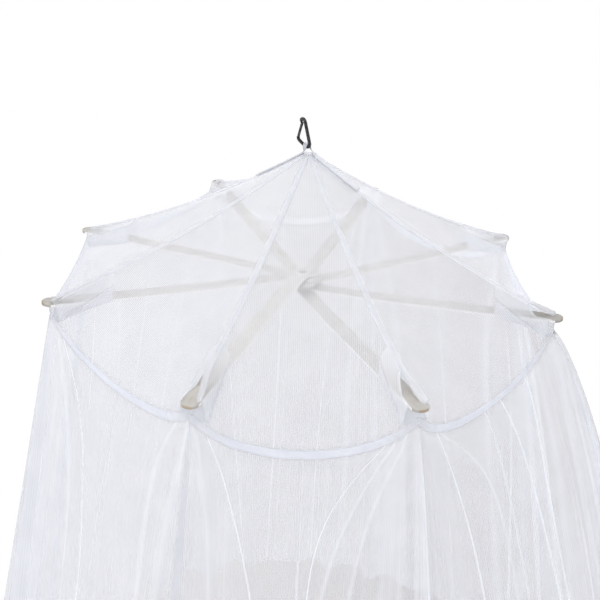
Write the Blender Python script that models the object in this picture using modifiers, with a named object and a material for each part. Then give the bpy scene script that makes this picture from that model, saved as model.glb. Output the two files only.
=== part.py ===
"""Mosquito net canopy: an eight-slat wooden frame under a netting roof, with a gathered netting skirt.

Metres, +Z up. The pieces are worked out from the centre of the frame: the plan centre is the bolt,
and height zero is the level of the slat ends. An empty then lowers everything, so that the world's
origin is the point where the carabiner hangs, at the inside of its top bend.
"""

from math import atan2, cos, hypot, pi, radians, sin

import bmesh
import bpy
from mathutils import Matrix, Vector

# ---------------------------------------------------------------- driving dimensions
TIP_RADIUS = 0.625          # bolt to slat end
CLOTH_RADIUS = 0.610        # bolt to the corner of the cloth, just short of the slat end
APEX_HEIGHT = 0.303         # apex of the roof above the slat ends
HUB_HEIGHT = -0.026         # middle of the stack of slats
HEM_HEIGHT = -1.960         # lower edge of the skirt
GAP = 0.0004                # clearance between pieces that touch

SLAT_WIDTH = 0.038
SLAT_THICKNESS = 0.0052
SLAT_PITCH = 0.0056         # one slat to the next in the stack
SLAT_TAIL = 0.050           # length past the bolt
SLAT_FLAT = 0.070           # radius within which a slat lies flat
SLAT_BOW = 1.25             # how late the slat rises towards its end
SLAT_SPANS = 5              # stretches of the bowed length
ROUND_END = (radians(28.0), radians(55.0), radians(82.0))   # stations on a slat's round end

BOLT_RADIUS = 0.003
BOLT_CLEARANCE = 0.0004
HEAD_RADIUS = 0.0065
HEAD_HEIGHT = 0.0042
WASHER_RADIUS = 0.0095
WASHER_THICKNESS = 0.0012
NUT_RADIUS = 0.0060
NUT_HEIGHT = 0.0060
BOLT_TAIL = 0.0030          # bolt that shows under the nut
BOLT_STEPS = 16
HOLE_SIDES = 20
WASHER_SIDES = 24
NUT_SIDES = 6
# The head's outline: share of its radius, share of its height.
HEAD_DOME = ((0.0, 1.0), (0.45, 0.93), (0.85, 0.60), (1.0, 0.15), (1.0, 0.0))

NET_THICKNESS = 0.0014
TAPE_THICKNESS = 0.0012
SEAM_SAG = 0.026            # dip of a seam halfway down
SEAM_LIFT = 0.0060          # seam above the slat's middle at its end
SEAM_TAPE_WIDTH = 0.015
SEAM_TAPE_LIFT = 0.0021     # middle of the tape above the middle of the netting
SEAM_TAPE_CROWN = 0.0014    # how far the tape's edges fold down over the seam
EDGE_TAPE_WIDTH = 0.022
CORNER_SHARE = 0.020        # how blunt the edge's corner is, as a share of the side
CORNER_DROP = 0.0120        # least distance from a seam's end down to the edge's corner
CORNER_GROWTH = 30          # how late the corner gets blunt from apex to edge
DROP_GROWTH = 2.2           # how late the roof's droop grows from apex to edge
RIDGE_AT_EDGE = 0.54        # shape of the droop across a gore: 1 is a parabola, less is fuller
RIDGE_GROWTH = 4            # how late that shape sets in from apex to edge
SEAM_CLEARANCE = 0.0010     # half the gap between two gores, under the seam tape

TAPE_CROWDING = 0.36        # widest that a seam tape may be near the apex, as a share of the radius
NOTCH_LENGTH = 0.150        # opening in the roof over the end of a slat
NOTCH_HEAD = 0.022          # length in which it widens from nothing
NOTCH_HALF_INNER = 0.027
NOTCH_HALF_OUTER = 0.035
POCKET_LENGTH = 0.126
POCKET_INSET = 0.0025       # pocket's outer end from the edge tape
POCKET_FLOOR_HALF = 0.0245
POCKET_DEPTH_OUTER = 0.042  # pocket floor below the slat's middle at its outer end
POCKET_CLEARANCE = 0.0010   # middle of the pocket floor below the slat at its mouth
POCKET_RIM_GAP = 0.0016
# The pocket's section from its middle to its rim: share of the width, share of the height.
POCKET_SECTION = ((0.0, 0.0), (0.6, 0.0), (1.0, 0.0), (1.0, 1.0))
EDGE_TAPE_TRIM = 0.0016     # end of an edge tape short of the corner

STRAP_THICKNESS = 0.0012
STRAP_LIFT = 0.0044         # strap's middle above the seam it is sewn to
STRAP_SEAMS = (2, 6)        # the two opposite corners whose seams carry it
# Half of the strap, from the top of its loop to its end: distance from the middle, height above the
# rod's middle (None follows the seam), half width, and share of the turn and shift into the carabiner.
STRAP_STATIONS = (
    (0.0000, 0.0094, 0.0060, 1.00),
    (0.0046, 0.0082, 0.0060, 1.00),
    (0.0068, 0.0036, 0.0060, 1.00),
    (0.0072, -0.0030, 0.0060, 0.85),
    (0.0084, -0.0072, 0.0068, 0.50),
    (0.0120, None, 0.0082, 0.15),
    (0.0180, None, 0.0100, 0.00),
    (0.0450, None, 0.0100, 0.00),
    (0.0720, None, 0.0100, 0.00),
    (0.0990, None, 0.0100, 0.00),
    (0.1260, None, 0.0100, 0.00),
)

ROD_RADIUS = 0.004
GATE_RADIUS = 0.0032
TOP_BEND = 0.0062           # bend radii are to the middle of the rod
BOTTOM_BEND = 0.012
BOTTOM_TURN = 120.0         # degrees that the rod turns in the bottom bend
WIDE_BEND = 0.007
BEND_STEPS = 8
NOSE_STEPS = 5
SPINE_BOTTOM = 0.017
SPINE_TOP = 0.0705
ARM_LENGTH = 0.0180
ARM_SLOPE = radians(35.0)
NOSE_HEADING = radians(64.0)
TONGUE_THICKNESS = 0.0030
TONGUE_HALF = 0.0025
PIN_RADIUS = 0.0010
PIN_DROP = 0.0065           # gate pin below the end of the top bend
PIN_CLEARANCE = 0.0004
PIN_PROUD = 0.0004          # pin beyond the gate's side
PIN_SIDES = 12
GATE_SIDES = 16
NOSE_GAP = 0.0011
GATE_ROOT = 0.0027          # gate past its pin
GATE_SLOT = 0.0068          # slot for the tongue, from the pin
ROD_ABOVE_APEX = 0.0095     # lowest point of the rod's middle above the apex
ROD_SHIFT = Vector((-0.0042, 0.0018, 0.0))   # that point's place beside the apex
CARABINER_AZIMUTH = radians(131.0)   # direction from the spine to the nose
CARABINER_TURN = radians(3.5)        # lean within its own plane
CARABINER_LEAN = radians(15.0)       # lean out of its plane

# Corners clockwise from the front left, seen from above. Their order is also that of the slats on the
# bolt, from the top down. Azimuths run from +X towards +Y.
# name, azimuth (degrees), height of the slat end, reach of the hem, and how far the roof's edge hangs
# below the slat ends halfway along the side to the next corner
CORNERS = (
    ("front_left", -112.3, -0.012, 1.00, 0.088),
    ("left_front", -156.9, 0.022, 0.98, 0.030),
    ("left_back", 157.2, -0.016, 0.98, 0.045),
    ("back_left", 112.5, 0.008, 1.00, 0.110),
    ("back_right", 67.5, 0.000, 1.04, 0.100),
    ("right_back", 23.6, -0.004, 1.16, 0.052),
    ("right_front", -21.2, 0.005, 1.28, 0.118),
    ("front_right", -70.3, -0.002, 1.10, 0.112),
)

# Folds of the skirt panel under each corner.
# number of folds, phase (turns), depth at the hem, how early the panel swings out
FOLDS = (
    (5.0, 0.10, 0.034, 0.95),
    (4.5, 0.35, 0.040, 1.00),
    (5.0, 0.80, 0.030, 0.95),
    (4.0, 0.15, 0.036, 0.95),
    (4.5, 0.60, 0.032, 0.95),
    (5.0, 0.45, 0.036, 0.78),
    (4.0, 0.90, 0.042, 0.78),
    (4.5, 0.25, 0.038, 0.85),
)
SKIRT_TUCK = 0.0020         # skirt's top edge below the edge tape
FOLD_START = 0.55           # exponent of a fold's growth down the skirt
SMALL_FOLD = 0.30           # depth of the smaller folds between the main ones, as a share
SMALL_FOLD_COUNT = 1.7      # their number, as a share
SMALL_FOLD_PHASE = 2.3
SKIRT_SEAM_GAP = 0.0003     # half the gap between two panels
TOP_CROWDING = 1.3          # how far the folds crowd to the corner at the top

# Rows of the roof, as shares of the way from the apex to the edge; the seam tapes share the inner ones.
ROOF_ROWS = (0.15, 0.30, 0.45, 0.60, 0.755, 0.79, 0.86, 0.93)
GORE_ROWS = (0.013, *ROOF_ROWS, 0.9985)
SEAM_TAPE_ROWS = (0.020, *ROOF_ROWS, 0.990)
SKIRT_ROWS = (0.0, 0.035, 0.11, 0.26, 0.48, 0.74, 1.0)
GORE_COLUMNS = 8
EDGE_TAPE_COLUMNS = 16
SKIRT_COLUMNS = 24
POCKET_ROWS = 4
SHARP_ANGLE = radians(40.0)

# ---------------------------------------------------------------- materials
# name, colour, roughness, metallic
MATERIALS = {
    "netting": ((0.86, 0.87, 0.92, 1.0), 0.85, 0.0),
    "tape": ((0.90, 0.91, 0.95, 1.0), 0.75, 0.0),
    "pocket": ((0.88, 0.89, 0.93, 1.0), 0.80, 0.0),
    "webbing": ((0.86, 0.87, 0.90, 1.0), 0.80, 0.0),
    "painted_wood": ((0.83, 0.80, 0.74, 1.0), 0.50, 0.0),
    "steel": ((0.55, 0.55, 0.56, 1.0), 0.35, 1.0),
    "black_metal": ((0.015, 0.015, 0.018, 1.0), 0.25, 0.6),
}


def make_material(name):
    colour, roughness, metallic = MATERIALS[name]
    material = bpy.data.materials.new(name)
    material.use_nodes = True
    shader = material.node_tree.nodes["Principled BSDF"]
    shader.inputs["Base Color"].default_value = colour
    shader.inputs["Roughness"].default_value = roughness
    shader.inputs["Metallic"].default_value = metallic
    material.diffuse_color = colour
    return material


# ---------------------------------------------------------------- scene helpers
def clear_scene():
    for item in list(bpy.data.objects):
        bpy.data.objects.remove(item, do_unlink=True)


def make_collection(name):
    collection = bpy.data.collections.new(name)
    bpy.context.scene.collection.children.link(collection)
    return collection


def add_object(name, mesh, material, smooth=True):
    """Links a mesh as one sub-part, hung from the empty that places the whole canopy."""
    item = bpy.data.objects.new(name, mesh)
    PARTS.objects.link(item)
    item.parent = HANGING_FRAME
    mesh.materials.clear()
    mesh.materials.append(LOOKS[material])
    if smooth:
        mesh.shade_smooth()
        mesh.set_sharp_from_angle(angle=SHARP_ANGLE)
    return item


def add_cutter(name, mesh):
    """Links a mesh that only cuts other pieces."""
    cutter = bpy.data.objects.new(name, mesh)
    CUTTERS.objects.link(cutter)
    cutter.parent = HANGING_FRAME
    cutter.hide_render = True
    cutter.display_type = "WIRE"
    return cutter


def cut(item, cutter, operation="DIFFERENCE"):
    boolean = item.modifiers.new(cutter.name, "BOOLEAN")
    boolean.operation = operation
    boolean.solver = "EXACT"
    boolean.object = cutter


def cylinder_mesh(name, radius, low, high, sides, matrix=None):
    """A cylinder along Z from low to high, then moved by the matrix."""
    bm = bmesh.new()
    middle = Matrix.Translation((0.0, 0.0, (low + high) / 2))
    bmesh.ops.create_cone(
        bm, cap_ends=True, segments=sides, radius1=radius, radius2=radius, depth=high - low, matrix=middle
    )
    if matrix is not None:
        bm.transform(matrix)
    mesh = bpy.data.meshes.new(name)
    bm.to_mesh(mesh)
    bm.free()
    return mesh


def box_mesh(name, low, high, matrix):
    """A box between two corners, then moved by the matrix."""
    bm = bmesh.new()
    low, high = Vector(low), Vector(high)
    bmesh.ops.create_cube(bm, size=1.0)
    bmesh.ops.scale(bm, vec=high - low, verts=bm.verts)
    bmesh.ops.translate(bm, vec=(low + high) / 2, verts=bm.verts)
    bm.transform(matrix)
    mesh = bpy.data.meshes.new(name)
    bm.to_mesh(mesh)
    bm.free()
    return mesh


def sheet(name, columns, rows, point, thickness, material):
    """A cloth piece: a grid whose points are placed by point(column share, row share), then thickened."""
    bm = bmesh.new()
    bmesh.ops.create_grid(bm, x_segments=columns, y_segments=rows, size=1.0)
    for vert in bm.verts:
        vert.co = point((vert.co.x + 1) / 2, (vert.co.y + 1) / 2)
    mesh = bpy.data.meshes.new(name)
    bm.to_mesh(mesh)
    bm.free()
    item = add_object(name, mesh, material)
    solidify = item.modifiers.new("thickness", "SOLIDIFY")
    solidify.thickness = thickness
    solidify.offset = 0.0
    return item


# ---------------------------------------------------------------- small maths
def heading(azimuth):
    return Vector((cos(azimuth), sin(azimuth), 0.0))


def mix(a, b, share):
    return a + (b - a) * share


def smooth_step(share):
    share = min(max(share, 0.0), 1.0)
    return share * share * (3 - 2 * share)


def row_value(stops, share):
    """Reads a list of stops at an even share of its length."""
    place = share * (len(stops) - 1)
    index = min(int(place), len(stops) - 2)
    return mix(stops[index], stops[index + 1], place - index)


def corner_azimuth(index):
    return radians(CORNERS[index % len(CORNERS)][1])


def tip_height(index):
    return CORNERS[index % len(CORNERS)][2]


# ---------------------------------------------------------------- slats and bolt
def slat_level(index):
    """Height of a slat's middle in the stack: the front left one lies on top."""
    return HUB_HEIGHT + ((len(CORNERS) - 1) / 2 - index) * SLAT_PITCH


def slat_height(index, radius):
    rise = max(0.0, (radius - SLAT_FLAT) / (TIP_RADIUS - SLAT_FLAT))
    return mix(slat_level(index), tip_height(index), rise ** SLAT_BOW)


def slat_stations():
    """Stations along a slat, each with its half width there; both ends are round."""
    half = SLAT_WIDTH / 2
    start, end = -SLAT_TAIL + half, TIP_RADIUS - half
    stations = [(start - half * sin(a), half * cos(a)) for a in reversed(ROUND_END)]
    stations += [(start, half), (SLAT_FLAT, half)]
    stations += [(mix(SLAT_FLAT, end, (i + 1) / SLAT_SPANS), half) for i in range(SLAT_SPANS)]
    stations += [(end + half * sin(a), half * cos(a)) for a in ROUND_END]
    return stations


def make_slat(index):
    along = heading(corner_azimuth(index))
    across = Vector((-along.y, along.x, 0.0))
    stations = slat_stations()
    last = len(stations) - 1

    def point(side, length):
        radius, half = stations[round(length * last)]
        return along * radius + across * half * (2 * side - 1) + Vector((0, 0, slat_height(index, radius)))

    slat = sheet("slat_" + CORNERS[index][0], 2, last, point, SLAT_THICKNESS, "painted_wood")
    cut(slat, BOLT_HOLE)


def make_washer(name, bottom):
    washer = add_object(
        name, cylinder_mesh(name, WASHER_RADIUS, bottom, bottom + WASHER_THICKNESS, WASHER_SIDES), "steel"
    )
    cut(washer, BOLT_HOLE)


def make_bolt():
    """The bolt through the stack of slats, with its washers and nut."""
    stack_top = HUB_HEIGHT + STACK_HALF
    stack_bottom = HUB_HEIGHT - STACK_HALF
    make_washer("hub_washer_top", stack_top + GAP)
    make_washer("hub_washer_bottom", stack_bottom - GAP - WASHER_THICKNESS)
    nut_top = stack_bottom - WASHER_THICKNESS - 2 * GAP
    nut_bottom = nut_top - NUT_HEIGHT
    nut_mesh = cylinder_mesh("hub_nut", NUT_RADIUS, nut_bottom, nut_top, NUT_SIDES)
    nut = add_object("hub_nut", nut_mesh, "steel", smooth=False)
    cut(nut, BOLT_HOLE)
    head_bottom = stack_top + WASHER_THICKNESS + 2 * GAP
    profile = [(HEAD_RADIUS * wide, head_bottom + HEAD_HEIGHT * high) for wide, high in HEAD_DOME]
    profile.append((BOLT_RADIUS, head_bottom))
    profile.append((BOLT_RADIUS, nut_bottom - BOLT_TAIL))
    profile.append((0.0, nut_bottom - BOLT_TAIL))
    turned("hub_bolt", profile, BOLT_STEPS, "steel")


def turned(name, profile, steps, material):
    """A turned piece: a profile in the XZ plane with a Screw modifier about Z."""
    mesh = bpy.data.meshes.new(name)
    edges = [(i, i + 1) for i in range(len(profile) - 1)]
    mesh.from_pydata([(radius, 0.0, height) for radius, height in profile], edges, [])
    item = add_object(name, mesh, material, smooth=False)
    screw = item.modifiers.new("turn", "SCREW")
    screw.steps = steps
    screw.render_steps = steps
    screw.use_merge_vertices = True
    screw.merge_threshold = 0.0001
    return item


# ---------------------------------------------------------------- roof
def seam_point(index, slope):
    """A seam at a share of the way from the apex to the cloth's corner."""
    height = mix(APEX_HEIGHT, tip_height(index) + SEAM_LIFT, slope) - 4 * SEAM_SAG * slope * (1 - slope)
    return heading(corner_azimuth(index)) * (slope * CLOTH_RADIUS) + Vector((0, 0, height))


def side_width(index, slope):
    """Distance between two neighbouring seams."""
    return (seam_point(index, slope) - seam_point(index + 1, slope)).length


def corner_share(edge_drop):
    """How blunt a side's corners are: blunter on a tight side, so that its edge passes under the slats."""
    return max(CORNER_SHARE, (CORNER_DROP / edge_drop) ** (1 / RIDGE_AT_EDGE) / 4)


def roof_droop(index, side, slope):
    """How far the netting hangs under the straight line between two seams."""
    edge_drop = CORNERS[index % len(CORNERS)][4]
    nearest = min(side, 1 - side)
    blunt = min(hypot(nearest, corner_share(edge_drop) * slope ** CORNER_GROWTH), 0.5)
    fullness = mix(1.0, RIDGE_AT_EDGE, slope ** RIDGE_GROWTH)
    return edge_drop * (4 * blunt * (1 - blunt)) ** fullness * slope ** DROP_GROWTH


def roof_point(index, side, slope):
    """The roof between seam index and the next one: side 0 and 1 are the seams, slope 0 is the apex."""
    point = seam_point(index, slope).lerp(seam_point(index + 1, slope), side)
    point.z -= roof_droop(index, side, slope)
    return point


def notch_half(slope):
    """Half width of the opening over a slat's end, along the side of the roof."""
    distance = (1 - slope) * CLOTH_RADIUS
    if distance >= NOTCH_LENGTH:
        return SEAM_CLEARANCE
    if distance > NOTCH_LENGTH - NOTCH_HEAD:
        return mix(SEAM_CLEARANCE, NOTCH_HALF_INNER, smooth_step((NOTCH_LENGTH - distance) / NOTCH_HEAD))
    return mix(NOTCH_HALF_OUTER, NOTCH_HALF_INNER, distance / (NOTCH_LENGTH - NOTCH_HEAD))


def make_gore(index):
    def point(side, row):
        slope = row_value(GORE_ROWS, row)
        edge = notch_half(slope) / side_width(index, slope)
        spread = 0.5 - 0.5 * cos(pi * side)
        return roof_point(index, mix(edge, 1 - edge, spread), slope)

    sheet("roof_gore_%d" % (index + 1), GORE_COLUMNS, len(GORE_ROWS) - 1, point, NET_THICKNESS, "netting")


def beside_seam(index, offset, slope):
    """The roof at a distance beside a seam, left of it for a negative offset."""
    if offset < 0:
        return roof_point(index - 1, 1 + offset / side_width(index - 1, slope), slope)
    return roof_point(index, offset / side_width(index, slope), slope)


def make_seam_tape(index):
    def point(side, row):
        slope = row_value(SEAM_TAPE_ROWS, row)
        widest = slope * CLOTH_RADIUS * TAPE_CROWDING - GAP
        offset = (2 * side - 1) * min(SEAM_TAPE_WIDTH / 2, widest)
        place = beside_seam(index, offset, slope)
        seam = seam_point(index, slope)
        crown = min(seam.z - place.z, SEAM_TAPE_CROWN)
        return Vector((place.x, place.y, seam.z - crown + SEAM_TAPE_LIFT))

    sheet("seam_tape_%d" % (index + 1), 2, len(SEAM_TAPE_ROWS) - 1, point, TAPE_THICKNESS, "tape")


def edge_point(index, side, below):
    """The edge tape's line: side runs between two corners, below is the distance under the roof's edge."""
    return roof_point(index, side, 1.0) - Vector((0, 0, below))


def make_edge_tape(index):
    def point(side, row):
        inset = EDGE_TAPE_TRIM / side_width(index, 1.0)
        place = mix(inset, 1 - inset, 0.5 - 0.5 * cos(pi * side))
        return edge_point(index, place, GAP + EDGE_TAPE_WIDTH * row)

    sheet("edge_tape_%d" % (index + 1), EDGE_TAPE_COLUMNS, 1, point, TAPE_THICKNESS, "tape")


def make_pocket(index):
    """A trough of dense fabric under a slat's end, sewn to both sides of the opening in the roof."""
    last = len(POCKET_SECTION) - 1

    def point(side, row):
        distance = mix(POCKET_LENGTH, POCKET_INSET, row)
        slope = 1 - distance / CLOTH_RADIUS
        across = (2 * side - 1) * last
        width_share, height_share = POCKET_SECTION[round(abs(across))]
        rim = notch_half(slope) - POCKET_RIM_GAP
        offset = mix(POCKET_FLOOR_HALF * width_share, rim, height_share)
        direction = -1 if across < 0 else 1
        place = beside_seam(index, direction * offset, slope)
        radius = hypot(place.x, place.y)
        mouth = slat_height(index, radius) - SLAT_THICKNESS / 2 - POCKET_CLEARANCE
        floor = mix(mouth, tip_height(index) - POCKET_DEPTH_OUTER, row)
        return Vector((place.x, place.y, mix(floor, place.z, height_share)))

    sheet("corner_pocket_%d" % (index + 1), 2 * last, POCKET_ROWS, point, TAPE_THICKNESS, "pocket")


# ---------------------------------------------------------------- skirt
def hem_reach(index, side):
    here = CORNERS[index % len(CORNERS)][3]
    there = CORNERS[(index + 1) % len(CORNERS)][3]
    return mix(here, there, smooth_step(side))


def fold_wave(index, across):
    """In and out swing of a panel's folds, from -1 to 1; it fades out towards the panel's two seams."""
    count, phase, _, _ = FOLDS[index]
    main = sin(2 * pi * (count * across / 2 + phase))
    small = sin(2 * pi * (count * SMALL_FOLD_COUNT * across / 2 + SMALL_FOLD_PHASE * phase))
    return (main + SMALL_FOLD * small) * (1 - across * across)


def make_skirt_panel(index):
    """A panel under one corner, from the middle of one side of the roof to the middle of the next."""
    _, _, depth, early = FOLDS[index]

    def point(side, row):
        down = row_value(SKIRT_ROWS, row)
        across = 2 * side - 1
        share = abs(across) ** (1 + TOP_CROWDING * (1 - down) ** 2) / 2
        share = min(share, 0.5 - SKIRT_SEAM_GAP / side_width(index, 1.0))
        if across < 0:
            span, place = (index - 1) % len(CORNERS), 1 - share
        else:
            span, place = index, share
        top = edge_point(span, place, EDGE_TAPE_WIDTH + SKIRT_TUCK)
        turn = (corner_azimuth(span + 1) - corner_azimuth(span) + pi) % (2 * pi) - pi
        outward = heading(corner_azimuth(span) + turn * place)
        swing = down ** early_at(index, span, place, early)
        reach = mix(hypot(top.x, top.y), hem_reach(span, place), swing)
        reach += depth * down ** FOLD_START * fold_wave(index, across)
        start = heading(atan2(top.y, top.x))
        aim = start.lerp(outward, down).normalized()
        return aim * reach + Vector((0, 0, mix(top.z, HEM_HEIGHT, down)))

    sheet("skirt_panel_%d" % (index + 1), SKIRT_COLUMNS, len(SKIRT_ROWS) - 1, point, NET_THICKNESS, "netting")


def early_at(index, span, place, early):
    """Two panels swing out alike where they meet, halfway between their corners."""
    other = span if index != span else (span + 1) % len(CORNERS)
    nearness = place if index == span else 1 - place
    return mix(early, FOLDS[other][3], nearness)


# ---------------------------------------------------------------- carabiner and strap
def carabiner_frame():
    """Places the carabiner's own axes: X from nose to spine, Y up, Z out of its plane."""
    to_spine = -heading(CARABINER_AZIMUTH)
    up = Vector((0, 0, 1))
    normal = to_spine.cross(up)
    turned_up = up * cos(CARABINER_TURN) - to_spine * sin(CARABINER_TURN)
    turned_side = to_spine * cos(CARABINER_TURN) + up * sin(CARABINER_TURN)
    lean = Matrix.Rotation(CARABINER_LEAN, 3, turned_side)
    axes = [lean @ axis for axis in (turned_side, turned_up, normal)]
    matrix = Matrix(axes).transposed().to_4x4()
    rod_low = Vector((-BOTTOM_BEND, SPINE_BOTTOM - BOTTOM_BEND, 0.0))
    place = Matrix.Translation(ROD_SHIFT + Vector((0, 0, APEX_HEIGHT + ROD_ABOVE_APEX)))
    return place @ matrix @ Matrix.Translation(-rod_low)


def arc(centre, radius, start, end, steps):
    """Points on an arc; angles in degrees, end included."""
    angles = [radians(mix(start, end, i / steps)) for i in range(steps + 1)]
    return [Vector((centre[0] + radius * cos(a), centre[1] + radius * sin(a), 0.0)) for a in angles]


def carabiner_route():
    """The body rod from the hinge end, over the top, down the spine, round the wide end to the nose."""
    top = arc((-TOP_BEND, SPINE_TOP), TOP_BEND, 180.0, 0.0, BEND_STEPS)
    bottom = arc((-BOTTOM_BEND, SPINE_BOTTOM), BOTTOM_BEND, 0.0, -BOTTOM_TURN, BEND_STEPS)
    arm_way = Vector((-cos(ARM_SLOPE), sin(ARM_SLOPE), 0.0))
    arm_end = bottom[-1] + arm_way * ARM_LENGTH
    to_centre = Vector((-arm_way.y, arm_way.x, 0.0)) * -1
    centre = arm_end + to_centre * WIDE_BEND
    first = atan2(arm_end.y - centre.y, arm_end.x - centre.x) % (2 * pi)
    last = NOSE_HEADING + pi / 2
    nose = [
        centre + Vector((cos(a), sin(a), 0.0)) * WIDE_BEND
        for a in (mix(first, last, i / NOSE_STEPS) for i in range(NOSE_STEPS + 1))
    ]
    return top + bottom + nose


def tube_mesh(name, points, radius):
    """A round rod along a line of points, with flat filled ends, as a welded mesh."""
    curve = bpy.data.curves.new(name, "CURVE")
    curve.dimensions = "3D"
    curve.bevel_depth = radius
    curve.bevel_resolution = 3
    curve.use_fill_caps = True
    spline = curve.splines.new("POLY")
    spline.points.add(len(points) - 1)
    for place, point in zip(spline.points, points):
        place.co = (point.x, point.y, point.z, 1.0)
    guide = bpy.data.objects.new(name + "_line", curve)
    PARTS.objects.link(guide)
    evaluated = guide.evaluated_get(bpy.context.evaluated_depsgraph_get())
    mesh = bpy.data.meshes.new_from_object(evaluated)
    bpy.data.objects.remove(guide, do_unlink=True)
    bm = bmesh.new()
    bm.from_mesh(mesh)
    bmesh.ops.remove_doubles(bm, verts=bm.verts, dist=0.00001)
    bmesh.ops.recalc_face_normals(bm, faces=bm.faces)
    bm.to_mesh(mesh)
    bm.free()
    mesh.name = name
    return mesh


def make_carabiner():
    frame = carabiner_frame()
    route = carabiner_route()
    hinge_end, nose_end = route[0], route[-1]
    pin = hinge_end - Vector((0.0, PIN_DROP, 0.0))

    body_mesh = tube_mesh("carabiner_body", route, ROD_RADIUS)
    body_mesh.transform(frame)
    body = add_object("carabiner_body", body_mesh, "black_metal")
    tongue_low = pin - Vector((TONGUE_HALF, TONGUE_HALF, TONGUE_THICKNESS / 2))
    tongue_high = hinge_end + Vector((TONGUE_HALF, ROD_RADIUS / 2, TONGUE_THICKNESS / 2))
    cut(body, add_cutter("tongue", box_mesh("tongue", tongue_low, tongue_high, frame)), "UNION")

    # The gate lies on the line from its pin to the nose and stops just short of it.
    line = nose_end - pin
    lie = frame @ Matrix.Translation(pin) @ Matrix.Rotation(atan2(line.y, line.x), 4, "Z")
    gate_mesh = cylinder_mesh(
        "carabiner_gate", GATE_RADIUS, -GATE_ROOT, line.length - NOSE_GAP, GATE_SIDES,
        lie @ Matrix.Rotation(pi / 2, 4, "Y"),
    )
    gate = add_object("carabiner_gate", gate_mesh, "black_metal")
    slot_half = TONGUE_THICKNESS / 2 + PIN_CLEARANCE
    slot_low = (-2 * GATE_RADIUS, -2 * GATE_RADIUS, -slot_half)
    slot_high = (GATE_SLOT, 2 * GATE_RADIUS, slot_half)
    cut(gate, add_cutter("gate_slot", box_mesh("gate_slot", slot_low, slot_high, lie)))

    across = frame @ Matrix.Translation(pin)
    hole_half = 2 * ROD_RADIUS
    hole = add_cutter(
        "pin_hole",
        cylinder_mesh("pin_hole", PIN_RADIUS + PIN_CLEARANCE, -hole_half, hole_half, GATE_SIDES, across),
    )
    cut(body, hole)
    cut(gate, hole)
    pin_half = GATE_RADIUS + PIN_PROUD
    add_object(
        "gate_pin", cylinder_mesh("gate_pin", PIN_RADIUS, -pin_half, pin_half, PIN_SIDES, across), "steel"
    )


def make_strap():
    """Webbing that is sewn down two opposite seams and stands up as a loop over the carabiner's rod."""
    left, right = STRAP_SEAMS
    rod = APEX_HEIGHT + ROD_ABOVE_APEX
    turn_left = CARABINER_AZIMUTH + pi / 2 - corner_azimuth(left)
    turn_right = CARABINER_AZIMUTH - pi / 2 - corner_azimuth(right)
    last = len(STRAP_STATIONS) - 1

    def point(side, length):
        place = round((2 * length - 1) * last)
        distance, above_rod, half, share = STRAP_STATIONS[abs(place)]
        index, turn = (right, turn_right) if place >= 0 else (left, turn_left)
        outward = corner_azimuth(index) + share * turn
        height = seam_point(index, distance / CLOTH_RADIUS).z + STRAP_LIFT
        if above_rod is not None:
            height = rod + above_rod
        across = heading(outward + pi / 2) * (1 if place >= 0 else -1)
        middle = heading(outward) * distance + ROD_SHIFT * share
        return middle + across * half * (2 * side - 1) + Vector((0, 0, height))

    sheet("webbing_strap", 2, 2 * last, point, STRAP_THICKNESS, "webbing")


# ---------------------------------------------------------------- assembly
clear_scene()
PARTS = make_collection("mosquito_net_canopy")
CUTTERS = make_collection("cutters")
LOOKS = {name: make_material(name) for name in MATERIALS}
HANGING_FRAME = bpy.data.objects.new("hanging_frame", None)
PARTS.objects.link(HANGING_FRAME)
hang_point = carabiner_frame() @ Vector((-TOP_BEND, SPINE_TOP + TOP_BEND - ROD_RADIUS, 0.0))
HANGING_FRAME.location = -hang_point
STACK_HALF = len(CORNERS) / 2 * SLAT_PITCH
hole_low, hole_high = HUB_HEIGHT - 2 * STACK_HALF, HUB_HEIGHT + 2 * STACK_HALF
hole_mesh = cylinder_mesh("bolt_hole", BOLT_RADIUS + BOLT_CLEARANCE, hole_low, hole_high, HOLE_SIDES)
BOLT_HOLE = add_cutter("bolt_hole", hole_mesh)
for corner in range(len(CORNERS)):
    make_slat(corner)
    make_gore(corner)
    make_seam_tape(corner)
    make_edge_tape(corner)
    make_pocket(corner)
    make_skirt_panel(corner)
make_bolt()
make_carabiner()
make_strap()
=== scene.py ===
"""Looks of the mosquito net canopy: sheer netting, tapes, painted slats, webbing and carabiner.

Metres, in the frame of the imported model. Cloth pieces are worked out in plan coordinates, whose origin
is the centre of the slat frame at the level of the slat ends, and then moved under the hanging point.
"""

from math import atan2, cos, exp, hypot, pi, radians, sin

import bmesh
import bpy
from mathutils import Matrix, Vector, noise


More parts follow.
